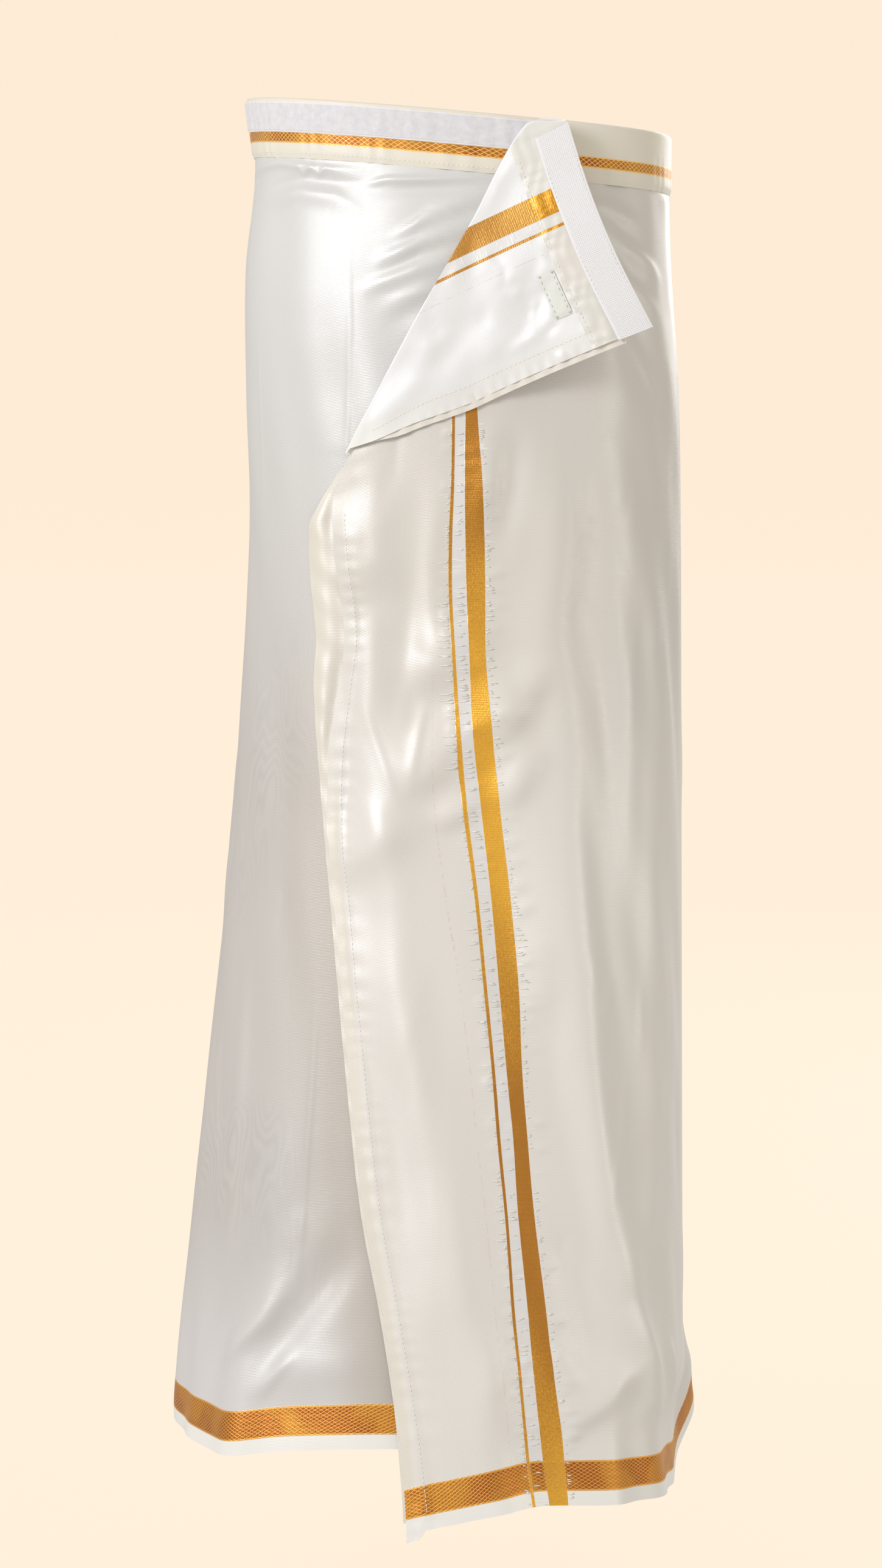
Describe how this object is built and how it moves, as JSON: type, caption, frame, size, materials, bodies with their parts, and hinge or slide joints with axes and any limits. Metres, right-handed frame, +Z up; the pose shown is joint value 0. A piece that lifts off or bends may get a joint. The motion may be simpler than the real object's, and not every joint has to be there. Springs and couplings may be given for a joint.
{
  "type": "wrap dhoti cloth",
  "caption": "Ankle-length wrap dhoti worn as a hollow tube of silk cloth, with gold borders, a hook-and-loop waistband and its top corner turned out.",
  "frame": {"origin": "centre of the waist, level with the top of the waistband at the front", "axes": "+Z up along the body, front towards -Y, the over panel's right side towards +X"},
  "size_m": [0.3884, 0.32, 1.0164],
  "materials": {
    "silk_cloth": "ivory art silk with a soft satin sheen and woven gold borders and stripes",
    "silk_wrong_side": "wrong side of the ivory art silk, gold stripes showing through the weave",
    "waistband_cloth": "stitched waistband of the same cloth with a strip of gold lattice border",
    "loop_tape": "fuzzy white loop tape with a lavender cast",
    "hook_tape": "white hook tape with a fine grid of hooks",
    "label_cloth": "thin sewn patch, blank"
  },
  "bodies": {
    "root": {"under_panel": "silk_cloth", "back_panel": "silk_cloth", "over_panel": "silk_cloth", "over_ply": "silk_cloth", "flap": "silk_wrong_side", "flap_ply": "silk_cloth", "flap_facing": "silk_wrong_side", "waistband_under": "waistband_cloth", "waistband_back": "waistband_cloth", "waistband_over": "waistband_cloth", "loop_tape": "loop_tape", "hook_tape": "hook_tape", "label_patch": "label_cloth"}
  },
  "joints": []
}
